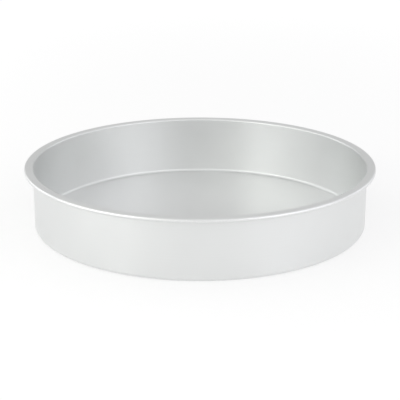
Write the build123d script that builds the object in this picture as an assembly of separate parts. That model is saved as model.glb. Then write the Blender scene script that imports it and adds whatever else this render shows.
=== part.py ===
from build123d import *
from math import asin, ceil, cos, degrees, radians, sin
import os

# Round cake tin, drawn from one disc of aluminium sheet. Millimetres, +Z up.
# The origin is the centre of the underside, where the tin stands.

# Driving sizes
inside_diameter = 406.4  # a 16 inch tin, measured between the walls
overall_height = 76.2  # 3 inches, from the underside up to the top of the rim
sheet = 1.2  # thickness of the aluminium
corner_radius = 3.8  # inside face, where the floor turns up into the wall
lip_radius = 2.2  # top face, where the wall turns out into the flange
rim_diameter = 429.4  # over the curled edge
curl_diameter = 4.8  # of the curled edge, over the sheet
curl_gap = 0.4  # left between the raw edge and the flange above it
chords_per_quarter = 4  # a bend is drawn as chords of its true circle, to keep the model light

# Places that follow from them
inside_radius = inside_diameter / 2
curl_radius = curl_diameter / 2
corner_centre = (inside_radius - corner_radius, sheet + corner_radius)
lip_centre = (inside_radius + lip_radius, overall_height - lip_radius)
curl_centre = (rim_diameter / 2 - curl_radius, overall_height - curl_radius)

# The curl runs from the flange outwards, down and back up, until its raw edge
# is one gap short of the flange's underside.
raw_edge_rise = curl_radius - sheet - curl_gap
curl_sweep = 270 + degrees(asin(raw_edge_rise / curl_radius))


def bend(centre, radius, start, sweep):
    """Points on a circle, in radius and height, from the angle start on through sweep."""
    chords = ceil(abs(sweep) / 90 * chords_per_quarter)
    angles = [radians(start + sweep * step / chords) for step in range(chords + 1)]
    return [(centre[0] + radius * cos(a), centre[1] + radius * sin(a)) for a in angles]


def sheet_face(depth):
    """One face of the sheet, as points from the centre of the floor to the raw edge.

    depth is how far the face lies behind the one that the cake touches. Both faces
    turn about the same centres, so the sheet keeps its thickness round every bend.
    """
    floor_centre = (0, sheet - depth)
    corner = bend(corner_centre, corner_radius + depth, -90, 90)
    lip = bend(lip_centre, lip_radius - depth, 180, -90)
    curl = bend(curl_centre, curl_radius - depth, 90, -curl_sweep)
    return [floor_centre] + corner + lip + curl


def tin():
    """The whole tin: the section between the two faces of the sheet, turned about the axis."""
    top_face = sheet_face(0)
    under_face = sheet_face(sheet)
    section = make_face(Polyline(top_face + under_face[::-1], close=True))
    return revolve(Plane.XZ * section, Axis.Z)


os.makedirs("parts", exist_ok=True)
pan = tin()
export_step(pan, "parts/tin.step")

size = pan.bounding_box().size
print(f"tin: {size.X:.1f} x {size.Y:.1f} x {size.Z:.1f} mm over all")
print(f"sheet metal: {pan.volume / 1000:.1f} cubic centimetres, in {len(pan.solids())} solid")
print(f"flat of the flange: {curl_centre[0] - lip_centre[0]:.2f} mm, curl turns {curl_sweep:.0f} degrees")
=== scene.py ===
# %% [markdown]
# A round cake tin, pressed and spun from one disc of aluminium sheet and then anodised.
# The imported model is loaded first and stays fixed: it says how big the tin is and where
# it stands. Everything below gives that model its looks, a floor, light and a camera.

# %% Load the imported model
from math import cos, radians, sin

import bmesh
import bpy
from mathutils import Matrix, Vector


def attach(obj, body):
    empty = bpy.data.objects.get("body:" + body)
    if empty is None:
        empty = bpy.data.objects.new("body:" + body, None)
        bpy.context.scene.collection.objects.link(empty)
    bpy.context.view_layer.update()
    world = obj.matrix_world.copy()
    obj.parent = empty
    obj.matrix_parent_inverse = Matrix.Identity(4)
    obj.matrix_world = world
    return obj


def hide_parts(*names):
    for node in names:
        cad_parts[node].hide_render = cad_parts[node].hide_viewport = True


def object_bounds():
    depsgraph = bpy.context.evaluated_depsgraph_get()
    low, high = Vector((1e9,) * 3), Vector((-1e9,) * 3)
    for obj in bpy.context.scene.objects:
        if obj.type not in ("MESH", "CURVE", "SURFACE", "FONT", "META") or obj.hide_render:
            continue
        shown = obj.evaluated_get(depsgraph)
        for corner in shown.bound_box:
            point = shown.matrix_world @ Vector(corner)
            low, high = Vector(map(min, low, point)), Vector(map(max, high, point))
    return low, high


def in_mm(*lengths):
    """Lengths in metres, put into words as millimetres."""
    return " x ".join(f"{length * 1000:.1f}" for length in lengths) + " mm"


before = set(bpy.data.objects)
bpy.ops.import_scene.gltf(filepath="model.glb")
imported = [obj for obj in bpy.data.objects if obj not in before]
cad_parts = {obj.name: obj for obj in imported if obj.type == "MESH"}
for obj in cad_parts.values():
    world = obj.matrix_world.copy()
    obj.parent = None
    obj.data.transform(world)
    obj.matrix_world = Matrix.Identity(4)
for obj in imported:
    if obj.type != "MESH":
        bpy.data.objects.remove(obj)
cad_low, cad_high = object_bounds()
overall_height = cad_high.z
print("the packed tin is", in_mm(*(cad_high - cad_low)), "over all")

# %% [markdown]
# A tin like this is seen best from a little above its rim, far enough back that the
# circle of the rim isn't pulled out of shape. The photograph was taken from about seven
# times the tin's radius away, with a long lens. The camera looks at a point a little under
# the tin's middle, which puts the tin just above the middle of the picture.

# %% Camera
camera_distance = 1.475
camera_elevation = radians(18.17)
lens_mm = 106.9
aim_height = 0.0258

tin_middle = Vector((0, 0, overall_height / 2))
back = Vector((0, -cos(camera_elevation), sin(camera_elevation)))
camera = bpy.data.objects.new("camera", bpy.data.cameras.new("camera"))
camera.data.lens = lens_mm
camera.location = tin_middle + back * camera_distance
aim = Vector((0, 0, aim_height)) - camera.location
camera.rotation_euler = aim.to_track_quat("-Z", "Y").to_euler()
bpy.context.scene.collection.objects.link(camera)
bpy.context.scene.camera = camera
print("camera stands", round(camera.location.z, 3), "m above the floor")

# %% [markdown]
# Node trees are built by hand below, so a few small helpers come first. One adds a node
# and fills its sockets, where a value can be a number or the output of another node. One
# starts a tree with named inputs and outputs. The others do sums.

# %% Helpers for node trees
def fill(tree, node, inputs):
    """Fills sockets of a node. inputs maps a socket's name or place to a value or a socket."""
    for key, value in inputs.items():
        if isinstance(value, bpy.types.NodeSocket):
            tree.links.new(value, node.inputs[key])
        else:
            node.inputs[key].default_value = value


def add(tree, kind, inputs=None, **settings):
    """Adds a node, sets it and fills its sockets."""
    made = tree.nodes.new(kind)
    for name, value in settings.items():
        setattr(made, name, value)
    fill(tree, made, inputs or {})
    return made


def result(tree, kind, inputs=None, **settings):
    """Adds a node and gives its first output."""
    return add(tree, kind, inputs, **settings).outputs[0]


def new_group(name, tree_kind, takes, gives):
    """A tree with named inputs and outputs. Both map a name to a kind, such as Float."""
    group = bpy.data.node_groups.new(name, tree_kind)
    for way, sockets in (("INPUT", takes), ("OUTPUT", gives)):
        for label, kind in sockets.items():
            group.interface.new_socket(name=label, in_out=way, socket_type="NodeSocket" + kind)
    return group, add(group, "NodeGroupInput").outputs


# %% Helpers for sums in a tree
def work_out(tree, operation, first, *others):
    """Puts one operation between numbers or sockets, from left to right."""
    total = first
    for value in others:
        total = result(tree, "ShaderNodeMath", {0: total, 1: value}, operation=operation)
    return total


def sum_of(tree, *terms):
    """All terms added up."""
    return work_out(tree, "ADD", *terms)


def less(tree, *terms):
    """The first term, with the others taken away."""
    return work_out(tree, "SUBTRACT", *terms)


def product_of(tree, *terms):
    """All terms multiplied."""
    return work_out(tree, "MULTIPLY", *terms)


def largest_of(tree, *terms):
    """The largest of the terms."""
    return work_out(tree, "MAXIMUM", *terms)


# %% [markdown]
# The tin is one sheet of even thickness. A spinner draws it as the middle line of the
# sheet: out along the floor, up the wall, out along the flange, and round the curl. It
# could be lathed from a hand-drawn outline, but the line is really seven corner points
# with a bend radius at each, so a node tree can work it out from the tin's own sizes.
# The curl is three corners whose bend radius is half the curl's width, so the bends run
# into each other and the curl comes out round. The tree turns the line about the tin's
# axis, and a Solidify modifier gives the sheet its thickness, half to each side.

# %% Sizes of the sheet
sheet = 0.0012
inside_radius = 0.2032
corner_radius = 0.0038
lip_radius = 0.0022
curl_radius = 0.0024
curl_gap = 0.0004
rim_clearance = 0.000003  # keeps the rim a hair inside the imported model's box
rim_radius = cad_high.x - rim_clearance
steps_per_bend = 10
steps_round = 288
weld_distance = 0.00001  # joins the points that the sweep leaves on each other in the centre
print("wall stands", in_mm(rim_radius - inside_radius - sheet), "inside the rim")


# %% The bent middle line of the sheet
def point(tree, radius, height):
    """A corner of the line. The sweep below takes heights downwards, so they are negated."""
    return result(tree, "ShaderNodeCombineXYZ", {0: radius, 1: product_of(tree, height, -1)})


def choice(tree, kind, values):
    """A different value for each point of the line, by its number."""
    switch = add(tree, "GeometryNodeIndexSwitch", data_type=kind)
    while len(switch.index_switch_items) < len(values):
        switch.index_switch_items.new()
    fill(tree, switch, {"Index": result(tree, "GeometryNodeInputIndex")})
    fill(tree, switch, dict(enumerate(values, 1)))
    return switch.outputs[0]


def bent_line(tree, given):
    """The middle line, from the centre of the floor to the raw edge, bent at its corners."""
    half = product_of(tree, given["Sheet"], 0.5)
    curl_width = product_of(tree, given["Curl Radius"], 2)
    wall = sum_of(tree, given["Inside Radius"], half)
    top = less(tree, given["Height"], half)
    outer = less(tree, given["Rim Radius"], half)
    inner = sum_of(tree, less(tree, given["Rim Radius"], curl_width), half)
    low = sum_of(tree, less(tree, given["Height"], curl_width), half)
    tip = less(tree, given["Height"], given["Sheet"], given["Curl Gap"])
    floor_and_wall = [(0, half), (wall, half), (wall, top)]
    flange_and_curl = [(outer, top), (outer, low), (inner, low), (inner, tip)]
    corners = [point(tree, radius, height) for radius, height in floor_and_wall + flange_and_curl]

    corner_bend = sum_of(tree, given["Corner Radius"], half)
    lip_bend = less(tree, given["Lip Radius"], half)
    curl_bend = less(tree, given["Curl Radius"], half)
    bends = [0.0, corner_bend, lip_bend, curl_bend, curl_bend, curl_bend, 0.0]

    line = result(tree, "GeometryNodeMeshLine", {"Count": len(corners)})
    placing = {"Geometry": line, "Position": choice(tree, "VECTOR", corners)}
    placed = result(tree, "GeometryNodeSetPosition", placing)
    curve = result(tree, "GeometryNodeMeshToCurve", {"Mesh": placed})
    bending = {"Curve": curve, "Count": given["Bend Steps"], "Radius": choice(tree, "FLOAT", bends)}
    return result(tree, "GeometryNodeFilletCurve", bending, mode="POLY")


# %% A tree that turns the line about the tin's axis
def turned_sheet_tree():
    """A node tree that bends the sheet's middle line and turns it about the axis."""
    lengths = ["Inside Radius", "Height", "Sheet", "Corner Radius", "Lip Radius", "Rim Radius"]
    takes = {name: "Float" for name in lengths + ["Curl Radius", "Curl Gap"]}
    takes.update({"Bend Steps": "Int", "Turn Steps": "Int", "Finish": "Material"})
    tree, given = new_group("turned_sheet", "GeometryNodeTree", takes, {"Tin": "Geometry"})

    # The sweep follows the rim's circle, so the line is first moved in by the rim's radius.
    inwards = product_of(tree, given["Rim Radius"], -1)
    shift = result(tree, "ShaderNodeCombineXYZ", {0: inwards})
    moving = {"Geometry": bent_line(tree, given), "Translation": shift}
    profile = result(tree, "GeometryNodeTransform", moving)
    ring = {"Resolution": given["Turn Steps"], "Radius": given["Rim Radius"]}
    circle = result(tree, "GeometryNodeCurvePrimitiveCircle", ring)
    path = result(tree, "GeometryNodeSetCurveNormal", {"Curve": circle}, mode="Z_UP")
    turned = result(tree, "GeometryNodeCurveToMesh", {"Curve": path, "Profile Curve": profile})

    welding = {"Geometry": turned, "Distance": weld_distance}
    closed = result(tree, "GeometryNodeMergeByDistance", welding)
    real = result(tree, "GeometryNodeRealizeInstances", {"Geometry": closed})
    finishing = {"Geometry": real, "Material": given["Finish"]}
    add(tree, "NodeGroupOutput", {"Tin": result(tree, "GeometryNodeSetMaterial", finishing)})
    return tree


# %% [markdown]
# The whole tin is anodised in the clear, and three workshop steps show on it. Turning and
# pressing leave faint rings round the axis. A caustic bath then etches the sheet matt, in
# a grain far under a millimetre. Last, the acid bath grows a thin clear skin, a little
# uneven over a hand's width. A picture of brushed metal could be wrapped round the tin, but
# it would repeat and show its seams. Here each mark is worked out from the place on the tin,
# so floor, wall and rim all get it without a seam. Each mark has a node group of its own.

# %% Helpers for the marks
noise_low = 0.25
noise_high = 0.75


def use_group(tree, group, values):
    """Places a group in a tree and gives its first output."""
    return result(tree, "ShaderNodeGroup", values, node_tree=group)


def radius_and_height(tree, place):
    """How far a place is from the tin's axis, and how high."""
    flat = result(tree, "ShaderNodeVectorMath", {0: place, 1: (1, 1, 0)}, operation="MULTIPLY")
    radius = add(tree, "ShaderNodeVectorMath", {0: flat}, operation="LENGTH").outputs["Value"]
    height = add(tree, "ShaderNodeSeparateXYZ", {0: place}).outputs["Z"]
    return radius, height


def ramp(tree, value, start, end, first=0.0, last=1.0):
    """Goes smoothly from first to last while value goes from start to end."""
    limits = {"Value": value, "From Min": start, "From Max": end, "To Min": first, "To Max": last}
    return result(tree, "ShaderNodeMapRange", limits, interpolation_type="SMOOTHSTEP")


def noise(tree, size, detail, **where):
    """Noise whose lumps are about as wide as size, from 0 to 1."""
    inputs = {"Scale": work_out(tree, "DIVIDE", 1.0, size), "Detail": detail, **where}
    across = "3D" if "Vector" in where else "1D"
    return result(tree, "ShaderNodeTexNoise", inputs, noise_dimensions=across)


def stretched(tree, mark):
    """Noise keeps near its middle. This spreads it over the whole way from 0 to 1."""
    return ramp(tree, mark, noise_low, noise_high)


# %% [markdown]
# On the floor and the flange the rings are a step in radius, and on the wall they are a
# step in height. Radius and height added together grow steadily from the centre of the
# floor out to the rim, and run back again round the curl. So one noise along that sum gives
# rings everywhere, and nothing jumps at a bend.

# %% Rings left by turning
ring_detail = 5.0
ring_harshness = 0.75


def turned_rings():
    """Uneven rings round the axis, from 0 to 1."""
    takes = {"Place": "Vector", "Spacing": "Float"}
    group, given = new_group("turned_rings", "ShaderNodeTree", takes, {"Rings": "Float"})
    along = sum_of(group, *radius_and_height(group, given["Place"]))
    rings = noise(group, given["Spacing"], ring_detail, W=along, Roughness=ring_harshness)
    add(group, "NodeGroupOutput", {"Rings": stretched(group, rings)})
    return group


# %% [markdown]
# The pits of the etch and the patches of the clear skin are lumps of very different sizes,
# one far under a millimetre and the other as wide as a hand. Noise in space makes both, so
# one function builds both groups.

# %% Grain of the etch and clouds in the skin
lump_detail = 2.0


def lumpy_mark(name, mark):
    """A group that gives lumps about as wide as Size, from 0 to 1, as an output named mark."""
    takes = {"Place": "Vector", "Size": "Float"}
    group, given = new_group(name, "ShaderNodeTree", takes, {mark: "Float"})
    lumps = noise(group, given["Size"], lump_detail, Vector=given["Place"])
    add(group, "NodeGroupOutput", {mark: stretched(group, lumps)})
    return group


# %% [markdown]
# A tin that is stacked and slid on oven shelves is rubbed in two places: on the outside of
# its curled edge and on the ring of the underside that it stands on. The skin there is
# scuffed in spots, so it is a little paler and smoother. The photograph shows a tin that is
# nearly new, so the scuffs stay faint.

# %% Wear where the tin rubs
spot_detail = 4.0
spot_start = 0.45
spot_full = 0.65


def rubbed_edges():
    """Scuffed spots on the curled edge and on the standing ring, from 0 to 1."""
    takes = {name: "Float" for name in ("Rim Radius", "Flat Radius", "Band", "Spot Size")}
    takes["Place"] = "Vector"
    group, given = new_group("rubbed_edges", "ShaderNodeTree", takes, {"Wear": "Float"})
    radius, height = radius_and_height(group, given["Place"])

    def near(limit):
        """Grows over the last band inside a radius."""
        return ramp(group, radius, less(group, limit, given["Band"]), limit)

    standing = product_of(group, ramp(group, height, given["Band"], 0.0), near(given["Flat Radius"]))
    rubbed = largest_of(group, near(given["Rim Radius"]), standing)
    lumps = noise(group, given["Spot Size"], spot_detail, Vector=given["Place"])
    spots = ramp(group, lumps, spot_start, spot_full)
    add(group, "NodeGroupOutput", {"Wear": product_of(group, rubbed, spots)})
    return group


# %% [markdown]
# The shader is plain metal. Its colour, roughness and bump change with the marks, and what
# is the same all over is set on the shader itself. Rings blur a reflection across them more
# than along them, which the shader's anisotropy does: its own direction on a round thing
# runs round the vertical axis, and a quarter turn points it across the rings. Bump heights
# are real heights in metres, a few thousandths of a millimetre.

# %% Values of the anodised finish
skin_light = (0.810, 0.819, 0.816, 1)
skin_dark = (0.746, 0.755, 0.752, 1)
bare_metal = (0.86, 0.86, 0.86, 1)
satin_roughness = 0.42
across_rings = 0.4
quarter_turn = 0.25
ring_spacing = 0.001
ring_height = 0.0000025
ring_share = 0.35
ring_sway = 0.05
grain_size = 0.00016
grain_height = 0.0000025
grain_share = 0.35
grain_sway = 0.04
cloud_size = 0.07
cloud_share = 0.3
cloud_sway = 0.02
rub_band = 0.0012
scuff_size = 0.0011
scuff_share = 0.6
scuff_polish = 0.10


# %% Anodised finish
def spread(tree, mark, amount):
    """A mark from 0 to 1, made to sway by amount above and below nothing."""
    return result(tree, "ShaderNodeMapRange", {"Value": mark, "To Min": -amount, "To Max": amount})


def mix(tree, amount, first, second):
    """Goes from the first colour to the second."""
    # The node keeps its colours in sockets 6 and 7, and gives the mixed one as output 2.
    made = add(tree, "ShaderNodeMix", {0: amount, 6: first, 7: second}, data_type="RGBA")
    return made.outputs[2]


def tin_marks(tree):
    """Rings, grain, clouds and wear, each worked out from the place on the tin."""
    place = add(tree, "ShaderNodeTexCoord").outputs["Object"]
    rings = use_group(tree, turned_rings(), {"Place": place, "Spacing": ring_spacing})
    etched_grain = lumpy_mark("etched_grain", "Grain")
    grain = use_group(tree, etched_grain, {"Place": place, "Size": grain_size})
    skin_clouds = lumpy_mark("skin_clouds", "Clouds")
    clouds = use_group(tree, skin_clouds, {"Place": place, "Size": cloud_size})
    rubbed = {
        "Place": place,
        "Rim Radius": rim_radius,
        "Flat Radius": inside_radius - corner_radius,
        "Band": rub_band,
        "Spot Size": scuff_size,
    }
    return rings, grain, clouds, use_group(tree, rubbed_edges(), rubbed)


def anodised_finish():
    """The finish of the whole tin."""
    finish = bpy.data.materials.new("anodised_sheet")
    finish.use_nodes = True
    tree = finish.node_tree
    rings, grain, clouds, wear = tin_marks(tree)

    patchy = sum_of(
        tree,
        product_of(tree, clouds, cloud_share),
        product_of(tree, rings, ring_share),
        product_of(tree, grain, grain_share),
    )
    skin = mix(tree, patchy, skin_dark, skin_light)
    uneven = sum_of(
        tree,
        satin_roughness,
        spread(tree, rings, ring_sway),
        spread(tree, grain, grain_sway),
        spread(tree, clouds, cloud_sway),
    )
    relief = sum_of(tree, product_of(tree, rings, ring_height), product_of(tree, grain, grain_height))
    surface = {
        "Base Color": mix(tree, product_of(tree, wear, scuff_share), skin, bare_metal),
        "Roughness": less(tree, uneven, product_of(tree, wear, scuff_polish)),
        "Normal": result(tree, "ShaderNodeBump", {"Height": relief, "Distance": 1.0}),
        "Metallic": 1.0,
        "Anisotropic": across_rings,
        "Anisotropic Rotation": quarter_turn,
    }
    fill(tree, tree.nodes["Principled BSDF"], surface)
    return finish


anodised = anodised_finish()
print("anodised finish:", len(anodised.node_tree.nodes), "nodes")

# %% [markdown]
# Now the sheet is turned. The tree sits on an empty mesh as a modifier, whose inputs are
# set before anything looks at the mesh. The result is copied into a plain mesh, and the
# modifiers go, so that what is left is only the metal.

# %% Turn the tin and thicken its sheet
def plain_mesh(carrier, name):
    """The evaluated object as a mesh of its own, with nothing left live."""
    graph = bpy.context.evaluated_depsgraph_get()
    mesh = bpy.data.meshes.new_from_object(carrier.evaluated_get(graph), depsgraph=graph)
    mesh.name = name
    return mesh


def turned_tin():
    """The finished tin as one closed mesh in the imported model's place."""
    carrier = bpy.data.objects.new("turned_tin", bpy.data.meshes.new("turned_tin"))
    bpy.context.scene.collection.objects.link(carrier)
    tree = turned_sheet_tree()
    turning = carrier.modifiers.new("turning", "NODES")
    turning.node_group = tree
    values = {
        "Inside Radius": inside_radius,
        "Height": overall_height,
        "Sheet": sheet,
        "Corner Radius": corner_radius,
        "Lip Radius": lip_radius,
        "Rim Radius": rim_radius,
        "Curl Radius": curl_radius,
        "Curl Gap": curl_gap,
        "Bend Steps": steps_per_bend,
        "Turn Steps": steps_round,
        "Finish": anodised,
    }
    for socket in tree.interface.items_tree:
        if socket.in_out == "INPUT":
            turning[socket.identifier] = values[socket.name]
    thickness = carrier.modifiers.new("thickness", "SOLIDIFY")
    thickness.thickness = sheet
    thickness.offset = 0
    thickness.use_even_offset = True
    thickness.use_quality_normals = True
    mesh = plain_mesh(carrier, "turned_tin")
    carrier.modifiers.clear()
    carrier.data = mesh
    return carrier


tin = turned_tin()
shape = bmesh.new()
shape.from_mesh(tin.data)
cubic_centimetres = shape.calc_volume() * 1e6
print("tin mesh:", len(shape.faces), "faces,", round(cubic_centimetres, 1), "cubic centimetres")
print("open edges:", sum(1 for edge in shape.edges if len(edge.link_faces) != 2))
shape.free()

# %% [markdown]
# Flat stretches have to shade flat right up to a bend. Smooth shading alone would lean
# the floor's normals towards the first facet of the corner. Weighting each normal by the
# size of the faces round it keeps the floor, wall and flange true, and the raw edge of
# the sheet stays sharp.

# %% Shade the tin
sharp_angle = radians(40)
size_weight = 100
tin.data.shade_smooth()
tin.data.set_sharp_from_angle(angle=sharp_angle)
weighting = tin.modifiers.new("true_flats", "WEIGHTED_NORMAL")
weighting.keep_sharp = True
weighting.weight = size_weight
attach(tin, "root")
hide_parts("tin")
print("sharp edges:", sum(1 for edge in tin.data.edges if edge.use_edge_sharp))


# %% [markdown]
# The tin stands on a wide sheet of pale paper, in a pale room. A brighter lamp could burn
# the paper out to white, but it would burn out the tin as well. Instead the paper has a
# little light of its own, only where the camera or a reflection sees it. The camera sees
# white, the metal mirrors white, and the tin still lays a soft shadow on the paper. Further
# out that light fades, so that the paper meets the room without a hard line.

# %% Paper floor
paper_colour = 0.4
paper_size = 16.0
paper_drop = 0.0002
glow_near = 0.59
glow_far = 0.72
glow_horizon = 0.235
glow_near_reach = 0.4
glow_far_reach = 2.5
glow_horizon_reach = 7.5


def seen_directly(tree):
    """1 for rays from the camera, a reflection or through glass, and 0 for other rays."""
    path = add(tree, "ShaderNodeLightPath").outputs
    return largest_of(tree, path["Is Camera Ray"], path["Is Glossy Ray"], path["Is Transmission Ray"])


def paper_material():
    """Matt paper with a little light of its own where it is seen directly."""
    paper = bpy.data.materials.new("paper")
    paper.use_nodes = True
    tree = paper.node_tree
    place = add(tree, "ShaderNodeTexCoord").outputs["Object"]
    radius, _ = radius_and_height(tree, place)
    glow = ramp(tree, radius, glow_near_reach, glow_far_reach, glow_near, glow_far)
    fading = ramp(tree, radius, glow_far_reach, glow_horizon_reach)
    faded = less(tree, glow, product_of(tree, fading, less(tree, glow, glow_horizon)))
    surface = {
        "Base Color": (paper_colour, paper_colour, paper_colour, 1),
        "Roughness": 1.0,
        "Specular IOR Level": 0.0,
        "Emission Color": (1, 1, 1, 1),
        "Emission Strength": product_of(tree, seen_directly(tree), faded),
    }
    fill(tree, tree.nodes["Principled BSDF"], surface)
    return paper


def paper_floor():
    """A square of paper just under the tin."""
    mesh = bpy.data.meshes.new("floor")
    reach = paper_size / 2
    corners = [(-reach, -reach), (reach, -reach), (reach, reach), (-reach, reach)]
    mesh.from_pydata([(x, y, -paper_drop) for x, y in corners], [], [(0, 1, 2, 3)])
    mesh.materials.append(paper_material())
    floor = bpy.data.objects.new("floor", mesh)
    bpy.context.scene.collection.objects.link(floor)


paper_floor()
print("paper:", paper_size, "m wide, at full light out to", glow_far_reach, "m")

# %% Pale room
room_level = 0.545
room_above = 0.35


def pale_room():
    """Pale walls all round, brighter overhead."""
    world = bpy.data.worlds.new("room")
    world.use_nodes = True
    tree = world.node_tree
    way = add(tree, "ShaderNodeTexCoord").outputs["Generated"]
    height = add(tree, "ShaderNodeSeparateXYZ", {0: way}).outputs["Z"]
    overhead = product_of(tree, largest_of(tree, height, 0.0), room_above)
    level = sum_of(tree, room_level, overhead)
    fill(tree, tree.nodes["Background"], {"Color": (1, 1, 1, 1), "Strength": level})
    bpy.context.scene.world = world


pale_room()
print("room: level", room_level, "at the walls and", room_level + room_above, "overhead")

# %% [markdown]
# Metal shows its surroundings, so the lamps are placed by what each part of the tin
# mirrors. The outside of the wall turns away to both sides, so two wide softboxes left and
# right of the camera give it its two pale bands. Two more stand in front with a gap between
# them, where the camera is. The hollow far wall shows them as two upright bands and the gap
# as the darker stretch between, and the floor repeats it. The last two stand behind, for the
# ends of the rim. The left side is stronger and warmer, the right side weaker and cooler.

# %% Softboxes
softbox_height = 0.8
at_the_side = {"elevation": 18, "distance": 1.6, "width": 1.7}
in_front = {"elevation": 24, "distance": 2.0, "width": 2.0}
behind = {"elevation": 20, "distance": 1.6, "width": 1.0}
slightly_cool = (0.95, 0.94, 1.0)
slightly_warm = (0.99, 1.0, 0.96)
plain_white = (1.0, 1.0, 1.0)


def softbox(name, azimuth, watts, colour, elevation, distance, width):
    """A soft lamp that faces the tin's middle. Azimuth 0 is the camera's side, 90 the right."""
    lamp = bpy.data.lights.new(name, "AREA")
    lamp.shape = "RECTANGLE"
    lamp.size = width
    lamp.size_y = softbox_height
    lamp.energy = watts
    lamp.color = colour
    holder = bpy.data.objects.new(name, lamp)
    turn, rise = radians(azimuth), radians(elevation)
    away = Vector((sin(turn) * cos(rise), -cos(turn) * cos(rise), sin(rise)))
    holder.location = tin_middle + away * distance
    holder.rotation_euler = (-away).to_track_quat("-Z", "Y").to_euler()
    holder.visible_camera = False
    bpy.context.scene.collection.objects.link(holder)
    return lamp


softboxes = [
    softbox("left_softbox", azimuth=-66, watts=6.4, colour=slightly_warm, **at_the_side),
    softbox("right_softbox", azimuth=64, watts=4.2, colour=slightly_cool, **at_the_side),
    softbox("left_front_softbox", azimuth=-31, watts=4.5, colour=slightly_warm, **in_front),
    softbox("right_front_softbox", azimuth=31, watts=3.8, colour=plain_white, **in_front),
    softbox("left_back_softbox", azimuth=-120, watts=2.6, colour=plain_white, **behind),
    softbox("right_back_softbox", azimuth=120, watts=1.6, colour=slightly_cool, **behind),
]
print("softboxes:", len(softboxes), "with", round(sum(lamp.energy for lamp in softboxes), 1), "W in all")

# %% [markdown]
# The picture shows each colour as the light leaves it, with no film look over it.

# %% Colours as they are
bpy.context.scene.view_settings.view_transform = "Standard"
